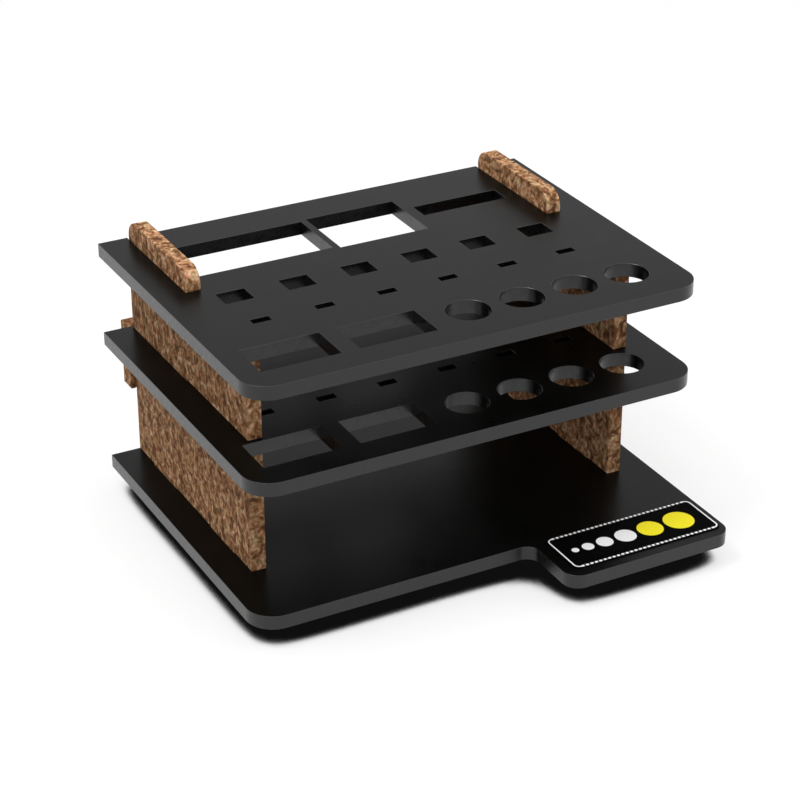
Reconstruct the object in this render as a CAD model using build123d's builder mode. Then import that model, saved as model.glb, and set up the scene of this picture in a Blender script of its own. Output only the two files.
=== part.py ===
from build123d import *
import os

# A bench rack for sanding sticks, files and sanding pens, cut from flat sheet.
# Millimetres, +Z up, +X to the right, +Y to the back.
# The origin is on the bench, under the middle of the rack's footprint.

# Sheet stock and the fit of the push-together joints
sheet = 3.0
support_sheet = 3.2
fit_clearance = 0.1

# Supports, measured from the boards' side edges
support_inset = 6.6
support_web = 1.0

# Long slots at the back, from the left support to the right one
first_slot_web = 2.2
wide_slot_length = 30.0
wide_slot_depth = 15.0
block_slot_web = 1.5
block_slot_length = 20.6
block_slot_depth = 16.4
narrow_slot_web = 2.6
narrow_slot_length = 20.1
narrow_slot_depth = 5.0
narrow_slot_shift = 0.8
last_slot_web = 3.4

# Two rows of small holes, one behind the other
small_hole_count = 6
small_hole_pitch = 13.8
small_hole_shift = -1.1
square_hole_length = 6.2
square_hole_depth = 5.1
strip_hole_length = 4.0
strip_hole_depth = 1.9

# Front row: trays on the left, round holes on the right
tray_count = 2
tray_length = 16.8
tray_depth = 9.9
tray_side_margin = 5.0
tray_web = 3.9
round_hole_count = 4
round_hole_diameter = 9.2
round_hole_pitch = 12.2
round_hole_side_margin = 11.5

# Webs between the rows, from the front edge to the back edge
front_web = 6.4
strip_row_web = 9.2
square_row_web = 8.6
slot_row_web = 9.3
back_web = 9.6

# Heights between the boards
lower_bay_height = 26.6
upper_bay_height = 17.4
foot_height = 4.5

# Board corners and the base's tongue
board_corner_radius = 6.0
tongue_width = 38.7
tongue_reach = 15.0
tongue_corner_radius = 3.5
tongue_root_radius = 3.0

# Label plate on the tongue
label_length = 35.2
label_width = 12.15
label_thickness = 0.3
label_corner_radius = 1.0
label_side_margin = 1.2
label_back_margin = 0.35

# Tabs of the supports that pass through the top shelf
tab_length = 29.8
tab_height = 4.4
tab_back_margin = 0.6
tab_corner_radius = 3.5

# Tenons of the supports in the base
tenon_length = 12.0
tenon_end_margin = 8.0

# Back stops, with a groove for the support's back edge
stop_depth = 4.0
stop_height = 14.9
stop_overhang = 1.15
stop_groove = 1.5

# Rubber feet
foot_diameter = 10.0
foot_taper = 0.6
foot_edge_radius = 0.6
foot_inset = 16.0

# Board size, from the slots and the rows
slot_row_length = (
    wide_slot_length + block_slot_web + block_slot_length + narrow_slot_web + narrow_slot_length
)
bay_width = first_slot_web + slot_row_length + last_slot_web
width = bay_width + 2 * (support_sheet + support_inset)
depth = (
    front_web
    + tray_depth
    + strip_row_web
    + strip_hole_depth
    + square_row_web
    + square_hole_depth
    + slot_row_web
    + wide_slot_depth
    + back_web
)
overall_depth = tongue_reach + depth + stop_depth

# Edges of the boards and faces of the supports
left = -width / 2
right = width / 2
front = -overall_depth / 2 + tongue_reach
back = front + depth
left_support_x = left + support_inset
right_support_x = right - support_inset - support_sheet
support_front = front + front_web + tray_depth + support_web
lap_y = (support_front + back) / 2
tab_back = back - tab_back_margin
tab_front = tab_back - tab_length

# Levels
base_bottom = foot_height
base_top = base_bottom + sheet
middle_bottom = base_top + lower_bay_height
middle_top = middle_bottom + sheet
top_bottom = middle_top + upper_bay_height
top_top = top_bottom + sheet
tab_top = top_top + tab_height
stop_bottom = middle_top - stop_height

# Row centres of the holes
front_row_y = front + front_web + tray_depth / 2
strip_row_y = front_row_y + tray_depth / 2 + strip_row_web + strip_hole_depth / 2
square_row_y = strip_row_y + strip_hole_depth / 2 + square_row_web + square_hole_depth / 2
slot_row_y = square_row_y + square_hole_depth / 2 + slot_row_web + wide_slot_depth / 2

# Tenons along a support's lower edge
tenon_centres = (
    support_front + tenon_end_margin + tenon_length / 2,
    back - tenon_end_margin - tenon_length / 2,
)


def box_sketch(low_x, high_x, low_y, high_y, mode=Mode.ADD):
    """A rectangle between two corners, in the sketch that is open."""
    with Locations(((low_x + high_x) / 2, (low_y + high_y) / 2)):
        Rectangle(high_x - low_x, high_y - low_y, mode=mode)


def vertex_at(sketch, x, y):
    """The corner of a sketch that lies nearest to a point."""
    return sketch.vertices().sort_by_distance((x, y, 0))[0]


def cut_long_slots():
    """The three slots at the back of a shelf, side by side."""
    low_x = left_support_x + support_sheet + first_slot_web
    box_sketch(
        low_x,
        low_x + wide_slot_length,
        slot_row_y - wide_slot_depth / 2,
        slot_row_y + wide_slot_depth / 2,
        mode=Mode.SUBTRACT,
    )
    low_x += wide_slot_length + block_slot_web
    box_sketch(
        low_x,
        low_x + block_slot_length,
        slot_row_y - block_slot_depth / 2,
        slot_row_y + block_slot_depth / 2,
        mode=Mode.SUBTRACT,
    )
    low_x += block_slot_length + narrow_slot_web
    narrow_y = slot_row_y + narrow_slot_shift
    box_sketch(
        low_x,
        low_x + narrow_slot_length,
        narrow_y - narrow_slot_depth / 2,
        narrow_y + narrow_slot_depth / 2,
        mode=Mode.SUBTRACT,
    )


def cut_small_holes():
    """The row of square holes and the row of strip holes in front of it."""
    with Locations((small_hole_shift, square_row_y)):
        with GridLocations(small_hole_pitch, 0, small_hole_count, 1):
            Rectangle(square_hole_length, square_hole_depth, mode=Mode.SUBTRACT)
    with Locations((small_hole_shift, strip_row_y)):
        with GridLocations(small_hole_pitch, 0, small_hole_count, 1):
            Rectangle(strip_hole_length, strip_hole_depth, mode=Mode.SUBTRACT)


def cut_front_row():
    """The trays at the front left and the round holes at the front right."""
    tray_pitch = tray_length + tray_web
    trays_x = left + tray_side_margin + (tray_count * tray_pitch - tray_web) / 2
    with Locations((trays_x, front_row_y)):
        with GridLocations(tray_pitch, 0, tray_count, 1):
            Rectangle(tray_length, tray_depth, mode=Mode.SUBTRACT)
    rounds_x = right - round_hole_side_margin - (round_hole_count - 1) * round_hole_pitch / 2
    with Locations((rounds_x, front_row_y)):
        with GridLocations(round_hole_pitch, 0, round_hole_count, 1):
            Circle(round_hole_diameter / 2, mode=Mode.SUBTRACT)


def make_shelf(bottom, notch_front):
    """A shelf board with all tool holes and two notches, open at the back, for the supports."""
    with BuildPart() as shelf:
        with BuildSketch(Plane.XY.offset(bottom)) as outline:
            box_sketch(left, right, front, back)
            fillet(
                [vertex_at(outline, left, front), vertex_at(outline, right, front)],
                board_corner_radius,
            )
            for support_x in (left_support_x, right_support_x):
                box_sketch(
                    support_x - fit_clearance,
                    support_x + support_sheet + fit_clearance,
                    notch_front,
                    back,
                    mode=Mode.SUBTRACT,
                )
            cut_long_slots()
            cut_small_holes()
            cut_front_row()
        extrude(amount=sheet)
    return shelf


def make_support(low_x):
    """A side support: tenons below, a lap slot for the middle shelf, a tab through the top one."""
    with BuildPart() as support:
        with BuildSketch(Plane.YZ.offset(low_x)) as profile:
            box_sketch(support_front, back, base_top, top_bottom)
            box_sketch(tab_front, tab_back, top_bottom, tab_top)
            tab_corners = [vertex_at(profile, y, tab_top) for y in (tab_front, tab_back)]
            fillet(tab_corners, tab_corner_radius)
            for tenon_y in tenon_centres:
                box_sketch(
                    tenon_y - tenon_length / 2, tenon_y + tenon_length / 2, base_bottom, base_top
                )
            box_sketch(back, back + stop_groove, stop_bottom, middle_top)
            box_sketch(
                support_front,
                lap_y + fit_clearance,
                middle_bottom,
                middle_top + fit_clearance,
                mode=Mode.SUBTRACT,
            )
        extrude(amount=support_sheet)
    return support


def make_base():
    """The base board, with a tongue at the front right and a mortise for each tenon."""
    tongue_left = right - tongue_width
    tongue_front = front - tongue_reach
    with BuildPart() as base:
        with BuildSketch(Plane.XY.offset(base_bottom)) as outline:
            box_sketch(left, right, front, back)
            box_sketch(tongue_left, right, tongue_front, front)
            fillet(vertex_at(outline, left, front), board_corner_radius)
            fillet(vertex_at(outline, tongue_left, front), tongue_root_radius)
            tongue_corners = [vertex_at(outline, x, tongue_front) for x in (tongue_left, right)]
            fillet(tongue_corners, tongue_corner_radius)
            for support_x in (left_support_x, right_support_x):
                for tenon_y in tenon_centres:
                    box_sketch(
                        support_x - fit_clearance,
                        support_x + support_sheet + fit_clearance,
                        tenon_y - tenon_length / 2 - fit_clearance,
                        tenon_y + tenon_length / 2 + fit_clearance,
                        mode=Mode.SUBTRACT,
                    )
        extrude(amount=sheet)
    return base


def make_back_stop(support_x):
    """A block behind a support, level with the middle shelf, so that the shelf can't slide back."""
    with BuildPart() as stop:
        with BuildSketch(Plane.XY.offset(stop_bottom)):
            box_sketch(
                support_x - stop_overhang,
                support_x + support_sheet + stop_overhang,
                back,
                back + stop_depth,
            )
            box_sketch(
                support_x - fit_clearance,
                support_x + support_sheet + fit_clearance,
                back,
                back + stop_groove,
                mode=Mode.SUBTRACT,
            )
        extrude(amount=stop_height)
    return stop


def make_label_plate():
    """The thin plate on the tongue."""
    high_x = right - label_side_margin
    high_y = front - label_back_margin
    with BuildPart() as label:
        with BuildSketch(Plane.XY.offset(base_top)) as outline:
            box_sketch(high_x - label_length, high_x, high_y - label_width, high_y)
            fillet(outline.vertices(), label_corner_radius)
        extrude(amount=label_thickness)
    return label


def make_foot(x, y):
    """A rubber foot, a little narrower where it meets the bench."""
    radius = foot_diameter / 2
    with BuildPart() as foot:
        with BuildSketch(Plane.XZ.offset(-y)) as section:
            with BuildLine():
                Polyline(
                    (x, 0),
                    (x + radius - foot_taper, 0),
                    (x + radius, foot_height),
                    (x, foot_height),
                    close=True,
                )
            make_face()
            fillet(vertex_at(section, x + radius - foot_taper, 0), foot_edge_radius)
        revolve(axis=Axis((x, y, 0), (0, 0, 1)))
    return foot


def save(piece, name):
    piece.part.label = name
    export_step(piece.part, f"parts/{name}.step")


os.makedirs("parts", exist_ok=True)

save(make_base(), "base_board")
save(make_shelf(middle_bottom, lap_y), "middle_shelf")
save(make_shelf(top_bottom, tab_front - fit_clearance), "top_shelf")
save(make_support(left_support_x), "left_support")
save(make_support(right_support_x), "right_support")
save(make_back_stop(left_support_x), "left_back_stop")
save(make_back_stop(right_support_x), "right_back_stop")
save(make_label_plate(), "label_plate")

for side, foot_x in (("left", left + foot_inset), ("right", right - foot_inset)):
    for end, foot_y in (("front", front + foot_inset), ("back", back - foot_inset)):
        save(make_foot(foot_x, foot_y), f"foot_{end}_{side}")
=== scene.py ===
import bpy
import bmesh
import math
from mathutils import Matrix, Vector


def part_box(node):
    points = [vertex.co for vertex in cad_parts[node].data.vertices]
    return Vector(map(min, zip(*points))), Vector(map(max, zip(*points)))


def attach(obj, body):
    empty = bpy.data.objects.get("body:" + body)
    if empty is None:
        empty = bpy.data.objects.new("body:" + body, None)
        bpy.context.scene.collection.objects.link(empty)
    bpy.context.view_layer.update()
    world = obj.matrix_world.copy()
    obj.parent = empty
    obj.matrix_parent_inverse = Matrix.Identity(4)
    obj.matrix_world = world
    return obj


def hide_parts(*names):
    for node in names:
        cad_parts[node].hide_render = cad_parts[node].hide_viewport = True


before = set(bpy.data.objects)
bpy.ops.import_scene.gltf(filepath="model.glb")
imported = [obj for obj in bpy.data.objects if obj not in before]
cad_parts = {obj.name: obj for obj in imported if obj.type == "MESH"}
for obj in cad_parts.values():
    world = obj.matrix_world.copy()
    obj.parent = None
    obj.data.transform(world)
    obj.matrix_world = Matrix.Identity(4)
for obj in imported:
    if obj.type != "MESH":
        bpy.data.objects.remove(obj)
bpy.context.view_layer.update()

MM = 0.001
X, Y, Z = range(3)
QUARTER_TURN = math.radians(90)

# Broken edges of the sheet pieces
BOARD_BEVEL = 0.06 * MM
SUPPORT_BEVEL = 0.12 * MM
LABEL_BEVEL = 0.06 * MM

# Meshes of the sheet pieces: how squarely a CAD face looks along the axis, the digits to which its
# corners are compared, the share of the bevel within which points are joined, and the angle from
# which an edge stays hard
RIM_FACE_ALONG = 0.99
CORNER_DIGITS = 7
JOIN_SHARE = 0.02
HARD_ANGLE = math.radians(30)

# Kinds of surface on a sheet piece, in the order of its materials, how squarely the sheet's own
# faces look along the axis, and how far in from its sides the rounded outer edge reaches
FACE, OUTER_EDGE, HOLE_WALL = range(3)
OWN_FACE_ALONG = 0.9
OUTER_EDGE_REACH = 2.5 * MM

# Stitched border and dots of the label
PRINT_THICKNESS = 0.04 * MM
PRINT_BEVEL = 0.1 * PRINT_THICKNESS
BORDER_INSET = 0.30 * MM
BORDER_LEFT_INSET = 0.60 * MM
BORDER_WIDTH = 0.52 * MM
BORDER_END_WIDTH = 0.6 * BORDER_WIDTH
STITCH_LENGTH = 0.68 * MM
STITCH_GAP = 0.38 * MM
BORDER_RADIUS = 1.1 * MM
CORNER_STEPS = 6
DOT_SIZES = [size * MM for size in (1.6, 2.6, 3.6, 4.6, 5.6, 6.6)]
DOT_GAP = 0.9 * MM
DOT_SIDES = 32
WHITE_DOTS = 4

# The range that holds most values of a noise
NOISE_LOW = 0.3
NOISE_HIGH = 0.7

# Sockets of the Mix node when it mixes colours, by number because their names come up twice
MIX_FACTOR, MIX_ONE, MIX_TWO = 0, 6, 7
MIX_RESULT = 2

# Camera, fitted to the board edges of the photograph: its lens and sensor are in millimetres
CAMERA_AIM = Vector((-1.625, 0.937, 28.445)) * MM
CAMERA_DISTANCE = 482.53 * MM
CAMERA_YAW = math.radians(28.195)
CAMERA_PITCH = math.radians(27.855)
CAMERA_ROLL = math.radians(0.036)
CAMERA_LENS = 104.745
CAMERA_CLIP = (0.01, 50)
SENSOR_WIDTH = 36.0

# Light: the dome, then the place, size and power of each round lamp
DOME_STRENGTH = 0.30
BACKGROUND = 1.0
LAMP_AIM = Vector((0, 0, 0.03))
LAMPS = {
    "top_lamp": ((0, 0, 0.60), 0.80, 1.90),
    "high_left_lamp": ((-0.25, 0, 0.58), 0.20, 1.25),
    "front_left_lamp": ((-0.42, -0.42, 0.28), 0.50, 0.84),
    "front_right_lamp": ((0.50, -0.28, 0.32), 0.50, 0.63),
}

# Floor: its reach, its shade as the camera sees it and as it lights the object, and how much of
# what the camera sees is plain white that no lamp's shadow reaches, up to all of it far away
FLOOR_REACH = 6.0
FLOOR_SEEN = 1.25
FLOOR_BOUNCE = 0.3
FLOOR_WHITE = 0.75
WHITE_STARTS = 0.15
WHITE_ENDS = 0.50

# Contact shadow painted into the floor's colour: how far the floor looks for what covers it, and
# the painted shade by how open it is
CONTACT_REACH = 20 * MM
CONTACT_SAMPLES = 32
PAINTED_CONTACT_SHADES = [(0.35, 0.006), (0.41, 0.12), (0.49, 0.86), (0.58, 0.94), (0.93, 0.97), (1.0, 1.0)]


def srgb(red, green, blue):
    """A colour given as 0 to 255, as the linear values that the shader takes."""
    def linear(value):
        value /= 255
        return value / 12.92 if value <= 0.04045 else ((value + 0.055) / 1.055) ** 2.4
    return (linear(red), linear(green), linear(blue), 1.0)


def grey(shade):
    return (shade, shade, shade, 1)


class Nodes:
    """Short ways to add nodes to a material or a world. A value can be a number or an output."""

    def __init__(self, owner):
        owner.use_nodes = True
        self.tree = owner.node_tree

    def new(self, kind):
        return self.tree.nodes.new("ShaderNode" + kind)

    def put(self, value, socket):
        if isinstance(value, bpy.types.NodeSocket):
            self.tree.links.new(value, socket)
        else:
            socket.default_value = value

    def place(self):
        """Coordinates of the object itself, in metres."""
        return self.new("TexCoord").outputs["Object"]

    def ramp(self, value, stops):
        made = self.new("ValToRGB")
        elements = made.color_ramp.elements
        while len(elements) < len(stops):
            elements.new(0.5)
        for element, (position, colour) in zip(elements, stops):
            element.position = position
            element.color = colour
        self.put(value, made.inputs["Fac"])
        return made.outputs["Color"]

    def spread(self, value, from_range, to_range, interpolation="LINEAR"):
        """A value moved from one range to another."""
        made = self.new("MapRange")
        made.interpolation_type = interpolation
        made.inputs["From Min"].default_value, made.inputs["From Max"].default_value = from_range
        made.inputs["To Min"].default_value, made.inputs["To Max"].default_value = to_range
        self.put(value, made.inputs["Value"])
        return made.outputs["Result"]

    def mix(self, factor, one, two, blend="MIX"):
        made = self.new("Mix")
        made.data_type = "RGBA"
        made.blend_type = blend
        self.put(factor, made.inputs[MIX_FACTOR])
        self.put(one, made.inputs[MIX_ONE])
        self.put(two, made.inputs[MIX_TWO])
        return made.outputs[MIX_RESULT]

    def greater(self, one, two):
        made = self.new("Math")
        made.operation = "MAXIMUM"
        self.put(one, made.inputs[0])
        self.put(two, made.inputs[1])
        return made.outputs[0]

    def direct_look(self):
        """One for rays from the camera or off gloss or through glass, otherwise none."""
        path = self.new("LightPath")
        seen = self.greater(path.outputs["Is Camera Ray"], path.outputs["Is Glossy Ray"])
        return self.greater(seen, path.outputs["Is Transmission Ray"])


class Shader(Nodes):
    """A material with one Principled BSDF."""

    def __init__(self, name):
        self.material = bpy.data.materials.new(name)
        super().__init__(self.material)
        self.principled = self.tree.nodes["Principled BSDF"]

    def set(self, name, value):
        self.put(value, self.principled.inputs[name])

    def coords(self, stretch=(1.0, 1.0, 1.0)):
        """Object coordinates in millimetres, stretched along each axis."""
        mapping = self.new("Mapping")
        mapping.inputs["Scale"].default_value = [factor / MM for factor in stretch]
        self.put(self.place(), mapping.inputs["Vector"])
        return mapping.outputs["Vector"]

    def noise(self, vector, scale, detail=4.0, roughness=0.5, distortion=0.0):
        made = self.new("TexNoise")
        made.inputs["Scale"].default_value = scale
        made.inputs["Detail"].default_value = detail
        made.inputs["Roughness"].default_value = roughness
        made.inputs["Distortion"].default_value = distortion
        self.put(vector, made.inputs["Vector"])
        return made.outputs["Fac"]

    def colour(self, noise, low, high):
        """The base colour runs from low to high over a noise."""
        self.set("Base Color", self.ramp(noise, [(NOISE_LOW, low), (NOISE_HIGH, high)]))

    def roughness(self, noise, low, high):
        """The roughness runs from low to high over a noise."""
        self.set("Roughness", self.spread(noise, (NOISE_LOW, NOISE_HIGH), (low, high)))

    def bump(self, height, distance):
        made = self.new("Bump")
        made.inputs["Distance"].default_value = distance
        self.put(height, made.inputs["Height"])
        self.set("Normal", made.outputs["Normal"])


# Materials

def board_face_material():
    """Smooth black sheet, with faint uneven gloss."""
    s = Shader("black_board_face")
    mm = s.coords()
    cloud = s.noise(mm, scale=0.12, detail=3.0)
    s.colour(cloud, srgb(5, 6, 5), srgb(9, 9, 9))
    s.roughness(cloud, low=0.27, high=0.33)
    s.set("IOR", 1.18)
    s.bump(s.noise(mm, scale=1.4, detail=5.0), distance=0.002 * MM)
    return s.material


def cut_edge_material(name, sheen):
    """The cut edge of the black sheet: a little greyer, with faint marks of the cutter."""
    s = Shader(name)
    streaks = s.noise(s.coords(stretch=(6.0, 6.0, 0.35)), scale=1.0, detail=1.5)
    s.colour(streaks, srgb(2, 2, 2), srgb(6, 6, 7))
    s.roughness(s.noise(s.coords(), scale=0.8), low=0.24, high=0.36)
    s.set("IOR", 1.53)
    s.set("Sheen Weight", sheen)
    s.set("Sheen Roughness", 0.3)
    s.bump(streaks, distance=0.0006 * MM)
    return s.material


def brown_material():
    """Raw pressed fibreboard: light and dark flecks that run into each other."""
    s = Shader("brown_board")
    flecks = s.noise(s.coords(stretch=(1.0, 1.0, 0.8)), scale=0.62, detail=1.5, distortion=0.9)
    fine = s.noise(s.coords(), scale=1.4, detail=2.0, roughness=0.55, distortion=0.3)
    tint = s.noise(s.coords(), scale=0.9, detail=1.0, distortion=1.0)
    warm = s.ramp(flecks, [
        (0.30, srgb(100, 62, 36)),
        (0.42, srgb(146, 101, 68)),
        (0.50, srgb(183, 135, 98)),
        (0.58, srgb(211, 165, 128)),
        (0.70, srgb(242, 204, 174)),
    ])
    tints = s.ramp(tint, [(0.36, srgb(238, 250, 230)), (0.64, srgb(255, 240, 234))])
    grain = s.ramp(fine, [(0.36, srgb(172, 160, 150)), (0.56, srgb(255, 255, 255))])
    tinted = s.mix(1.0, warm, tints, "MULTIPLY")
    s.set("Base Color", s.mix(0.8, tinted, grain, "MULTIPLY"))
    s.roughness(fine, low=0.78, high=0.95)
    s.set("IOR", 1.4)
    s.bump(s.mix(0.3, flecks, fine), distance=0.09 * MM)
    return s.material


def label_material():
    """Printed black film with a slight tooth."""
    s = Shader("label_film")
    mm = s.coords()
    s.colour(s.noise(mm, scale=0.4), srgb(3, 3, 3), srgb(7, 7, 7))
    s.roughness(s.noise(mm, scale=2.0), low=0.5, high=0.6)
    s.set("IOR", 1.05)
    s.bump(s.noise(mm, scale=6.0, detail=2.0), distance=0.002 * MM)
    return s.material


def print_material(name, low, high):
    """Printed ink, a little uneven where it is thinner."""
    s = Shader(name)
    mm = s.coords()
    s.colour(s.noise(mm, scale=1.6), low, high)
    s.roughness(s.noise(mm, scale=3.0), low=0.45, high=0.6)
    s.set("IOR", 1.4)
    return s.material


def rubber_material():
    """Matt black rubber."""
    s = Shader("foot_rubber")
    mm = s.coords()
    s.colour(s.noise(mm, scale=0.9), srgb(20, 20, 20), srgb(30, 30, 30))
    s.roughness(s.noise(mm, scale=2.5), low=0.7, high=0.85)
    s.bump(s.noise(mm, scale=5.0), distance=0.02 * MM)
    return s.material


# Sheet pieces with a broken edge, made from the outline of the CAD piece

def across(axis):
    return [i for i in (X, Y, Z) if i != axis]


def outlines(node, axis):
    """The closed outlines of a flat CAD piece: the rims of the faces that look along axis."""
    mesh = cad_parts[node].data
    rim = set()
    for face in mesh.polygons:
        if face.normal[axis] < RIM_FACE_ALONG:
            continue
        points = [mesh.vertices[v].co for v in face.vertices]
        corners = [tuple(round(point[i], CORNER_DIGITS) for i in across(axis)) for point in points]
        for start, end in zip(corners, corners[1:] + corners[:1]):
            if (end, start) in rim:
                rim.remove((end, start))
            else:
                rim.add((start, end))
    following = dict(rim)
    loops = []
    while following:
        start, point = following.popitem()
        loop = [start]
        while point != start:
            loop.append(point)
            point = following.pop(point)
        loops.append(loop)
    return sorted(loops)


def flat_curve(name, loops, thickness, bevel):
    """A filled curve round the loops, with a small bevel round every outline."""
    curve = bpy.data.curves.new(name, "CURVE")
    curve.dimensions = "2D"
    curve.fill_mode = "BOTH"
    curve.extrude = thickness / 2 - bevel
    curve.bevel_depth = bevel
    curve.bevel_resolution = 0
    curve.offset = -bevel
    for loop in loops:
        spline = curve.splines.new("POLY")
        spline.points.add(len(loop) - 1)
        for point, (u, v) in zip(spline.points, loop):
            point.co = (u, v, 0.0, 1.0)
        spline.use_cyclic_u = True
    return curve


def plate(name, loops, axis, low, high, bevel):
    """A flat plate between two levels along axis, with broken edges."""
    maker = bpy.data.objects.new(name + "_curve", flat_curve(name, loops, high - low, bevel))
    mesh = bpy.data.meshes.new_from_object(maker)
    bpy.data.objects.remove(maker)
    middle = (low + high) / 2
    places = {
        X: lambda u, v, w: (middle + w, u, v),
        Z: lambda u, v, w: (u, v, middle + w),
    }
    for vertex in mesh.vertices:
        vertex.co = places[axis](*vertex.co)
    work = bmesh.new()
    work.from_mesh(mesh)
    bmesh.ops.remove_doubles(work, verts=work.verts, dist=bevel * JOIN_SHARE)
    bmesh.ops.recalc_face_normals(work, faces=work.faces)
    for face in work.faces:
        face.smooth = True
    work.to_mesh(mesh)
    work.free()
    mesh.set_sharp_from_angle(angle=HARD_ANGLE)
    piece = bpy.data.objects.new(name, mesh)
    bpy.context.scene.collection.objects.link(piece)
    return piece


def surface_kind(face, axis, low, high):
    """The kind of surface on a sheet piece that a face belongs to."""
    if abs(face.normal[axis]) > OWN_FACE_ALONG:
        return FACE
    to_side = min(min(face.center[i] - low[i], high[i] - face.center[i]) for i in across(axis))
    return HOLE_WALL if to_side > OUTER_EDGE_REACH else OUTER_EDGE


def dress(piece, node, materials, axis=None):
    """Gives a piece its materials, by kind of surface, and lets it stand for its CAD node."""
    for material in materials:
        piece.data.materials.append(material)
    if len(materials) > 1:
        low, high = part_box(node)
        for face in piece.data.polygons:
            face.material_index = min(surface_kind(face, axis, low, high), len(materials) - 1)
    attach(piece, "root")
    if node:
        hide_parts(node)


def sheet_piece(node, axis, bevel, materials):
    low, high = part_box(node)
    piece = plate(node + "_sheet", outlines(node, axis), axis, low[axis], high[axis], bevel)
    dress(piece, node, materials, axis)


# Label

def arc(centre, radius, start_angle, angle, steps):
    return [
        (
            centre[0] + radius * math.cos(start_angle + angle * i / steps),
            centre[1] + radius * math.sin(start_angle + angle * i / steps),
        )
        for i in range(steps + 1)
    ]


def corner(x, y, start_angle):
    """A rounded corner of the border, a quarter turn from start_angle."""
    return arc((x, y), BORDER_RADIUS, start_angle, QUARTER_TURN, CORNER_STEPS)


def disc(centre, radius):
    return arc(centre, radius, 0, math.tau, DOT_SIDES)[:-1]


def strip(points, width):
    """The outline of a strip of even width that follows an open row of points."""
    sides = ([], [])
    for i, point in enumerate(points):
        before = Vector(points[max(i - 1, 0)])
        after = Vector(points[min(i + 1, len(points) - 1)])
        along = (after - before).normalized()
        aside = Vector((-along.y, along.x)) * width / 2
        sides[0].append(tuple(Vector(point) + aside))
        sides[1].append(tuple(Vector(point) - aside))
    return sides[0] + sides[1][::-1]


def label_border(low, high):
    """Stitches along the front and the back, and a plain line round each end."""
    shapes = []
    left, right = low.x + BORDER_RADIUS, high.x - BORDER_RADIUS
    front, back = low.y + BORDER_RADIUS, high.y - BORDER_RADIUS
    count = round((right - left + STITCH_GAP) / (STITCH_LENGTH + STITCH_GAP))
    pitch = (right - left + STITCH_GAP) / count
    for y in (low.y, high.y):
        for i in range(count):
            x = left + i * pitch
            shapes.append(strip([(x, y), (x + pitch - STITCH_GAP, y)], BORDER_WIDTH))
    left_end = corner(left, back, QUARTER_TURN) + corner(left, front, 2 * QUARTER_TURN)
    right_end = corner(right, front, 3 * QUARTER_TURN) + corner(right, back, 0)
    for end in (left_end, right_end):
        shapes.append(strip(end, BORDER_END_WIDTH))
    return shapes


def label_dots(low, high):
    """The outlines of a plain row of dots, from small to large."""
    middle = (low + high) / 2
    shapes = []
    left = middle.x - (sum(DOT_SIZES) + DOT_GAP * (len(DOT_SIZES) - 1)) / 2
    for size in DOT_SIZES:
        shapes.append(disc((left + size / 2, middle.y), size / 2))
        left += size + DOT_GAP
    return shapes


def make_label():
    low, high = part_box("label_plate")
    sheet_piece("label_plate", Z, LABEL_BEVEL, [label_material()])
    border_low = low + Vector((BORDER_LEFT_INSET, BORDER_INSET, 0))
    border_high = high - Vector((BORDER_INSET, BORDER_INSET, 0))
    bottom = high.z - PRINT_THICKNESS / 2
    top = high.z + PRINT_THICKNESS / 2
    white = print_material("print_white", srgb(250, 250, 250), srgb(255, 255, 255))
    yellow = print_material("print_yellow", srgb(255, 236, 4), srgb(255, 244, 10))
    dots = label_dots(low, high)
    for name, shapes, ink in (
        ("label_border", label_border(border_low, border_high), white),
        ("label_small_dots", dots[:WHITE_DOTS], white),
        ("label_large_dots", dots[WHITE_DOTS:], yellow),
    ):
        dress(plate(name, shapes, Z, bottom, top, PRINT_BEVEL), None, [ink])


# Object

def make_rack():
    face = board_face_material()
    outer_edge = cut_edge_material("black_board_edge", sheen=0.3)
    hole_wall = cut_edge_material("black_board_hole_wall", sheen=0.0)
    brown = [brown_material()]
    sheet_piece("base_board", Z, BOARD_BEVEL, [face, outer_edge])
    for node in ("middle_shelf", "top_shelf"):
        sheet_piece(node, Z, BOARD_BEVEL, [face, outer_edge, hole_wall])
    for node in ("left_support", "right_support"):
        sheet_piece(node, X, SUPPORT_BEVEL, brown)
    for node in ("left_back_stop", "right_back_stop"):
        sheet_piece(node, Z, SUPPORT_BEVEL, brown)
    rubber = rubber_material()
    for node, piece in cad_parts.items():
        if node.startswith("foot_"):
            piece.data.materials.clear()
            piece.data.materials.append(rubber)
    make_label()


# Stage

def painted_contact_shadow(nodes):
    """The floor's painted contact shadow: a shade, multiplied into its colour, which falls to black
    in the narrow gap under the object.
    """
    covered = nodes.new("AmbientOcclusion")
    covered.samples = CONTACT_SAMPLES
    covered.inputs["Distance"].default_value = CONTACT_REACH
    stops = [(openness, grey(shade)) for openness, shade in PAINTED_CONTACT_SHADES]
    return nodes.ramp(covered.outputs["AO"], stops)


def white_share(nodes):
    """How much of the floor is plain white, by the distance from the object."""
    distance = nodes.new("VectorMath")
    distance.operation = "LENGTH"
    nodes.put(nodes.place(), distance.inputs[0])
    length, reach = distance.outputs["Value"], (WHITE_STARTS, WHITE_ENDS)
    return nodes.spread(length, reach, (FLOOR_WHITE, 1), "SMOOTHSTEP")


def mix_shaders(nodes, factor, one, two):
    made = nodes.new("MixShader")
    for value, socket in zip((factor, one, two), made.inputs):
        nodes.put(value, socket)
    return made.outputs[0]


def coloured(nodes, kind, colour):
    made = nodes.new(kind)
    nodes.put(colour, made.inputs["Color"])
    return made.outputs[0]


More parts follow.
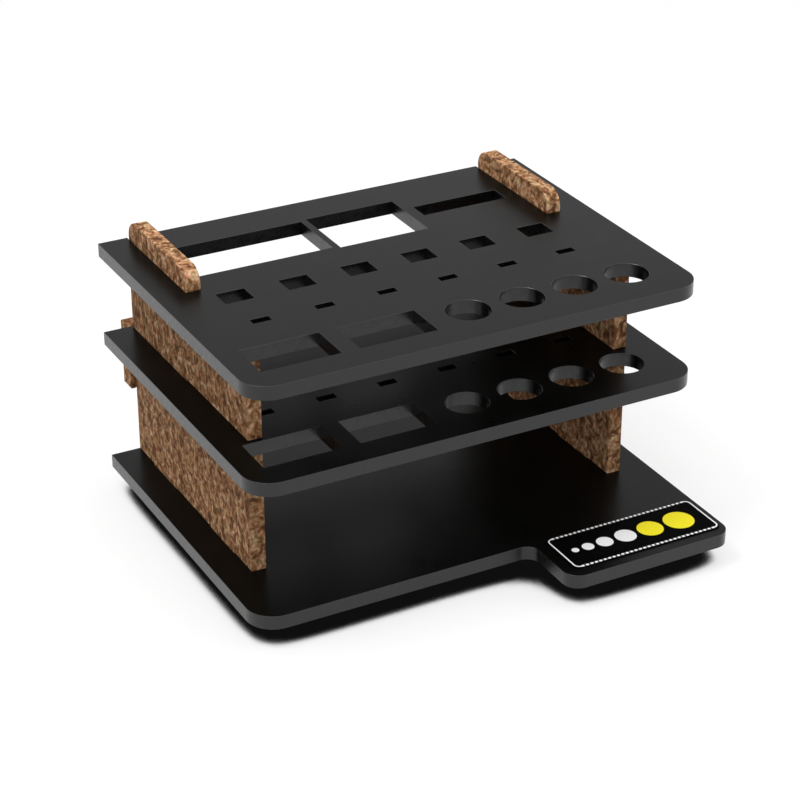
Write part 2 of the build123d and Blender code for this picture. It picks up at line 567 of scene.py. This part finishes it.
def floor_material():
    """Reads as white, with a painted contact shadow in its colour, and throws back less light than
    it shows.
    """
    material = bpy.data.materials.new("floor")
    nodes = Nodes(material)
    nodes.tree.nodes.clear()
    painted_shadow = painted_contact_shadow(nodes)
    # The painted contact shadow darkens the lit floor's colour and the white emission alike
    lit = coloured(nodes, "BsdfDiffuse", nodes.mix(1.0, grey(FLOOR_SEEN), painted_shadow, "MULTIPLY"))
    seen = mix_shaders(nodes, white_share(nodes), lit, coloured(nodes, "Emission", painted_shadow))
    plain = coloured(nodes, "BsdfDiffuse", grey(FLOOR_BOUNCE))
    surface = mix_shaders(nodes, nodes.direct_look(), plain, seen)
    nodes.put(surface, nodes.new("OutputMaterial").inputs["Surface"])
    return material


def make_floor():
    reach = FLOOR_REACH
    mesh = bpy.data.meshes.new("floor")
    corners = [(-reach, -reach, 0), (reach, -reach, 0), (reach, reach, 0), (-reach, reach, 0)]
    mesh.from_pydata(corners, [], [(0, 1, 2, 3)])
    mesh.materials.append(floor_material())
    floor = bpy.data.objects.new("floor", mesh)
    bpy.context.scene.collection.objects.link(floor)


def make_world():
    """An even pale dome, white where it is seen directly or in a reflection."""
    world = bpy.data.worlds.new("dome")
    bpy.context.scene.world = world
    nodes = Nodes(world)
    background = nodes.tree.nodes["Background"]
    background.inputs["Color"].default_value = grey(1)
    strength = nodes.spread(nodes.direct_look(), (0, 1), (DOME_STRENGTH, BACKGROUND))
    nodes.put(strength, background.inputs["Strength"])


def make_lamps():
    for name, (place, size, power) in LAMPS.items():
        light = bpy.data.lights.new(name, "AREA")
        light.shape = "DISK"
        light.size = size
        light.energy = power
        lamp = bpy.data.objects.new(name, light)
        lamp.location = place
        lamp.rotation_euler = (LAMP_AIM - Vector(place)).to_track_quat("-Z", "Y").to_euler()
        bpy.context.scene.collection.objects.link(lamp)


def make_camera():
    ahead = Vector((
        math.sin(CAMERA_YAW) * math.cos(CAMERA_PITCH),
        math.cos(CAMERA_YAW) * math.cos(CAMERA_PITCH),
        -math.sin(CAMERA_PITCH),
    ))
    side = Vector((math.cos(CAMERA_YAW), -math.sin(CAMERA_YAW), 0))
    above = side.cross(ahead)
    turned_side = side * math.cos(CAMERA_ROLL) + above * math.sin(CAMERA_ROLL)
    turned_above = above * math.cos(CAMERA_ROLL) - side * math.sin(CAMERA_ROLL)
    data = bpy.data.cameras.new("camera")
    data.lens = CAMERA_LENS
    data.sensor_width = SENSOR_WIDTH
    data.clip_start, data.clip_end = CAMERA_CLIP
    camera = bpy.data.objects.new("camera", data)
    turn = Matrix((turned_side, turned_above, -ahead)).transposed()
    camera.matrix_world = Matrix.Translation(CAMERA_AIM - ahead * CAMERA_DISTANCE) @ turn.to_4x4()
    bpy.context.scene.collection.objects.link(camera)
    bpy.context.scene.camera = camera


make_rack()
make_floor()
make_world()
make_lamps()
make_camera()
bpy.context.scene.view_settings.view_transform = "Standard"
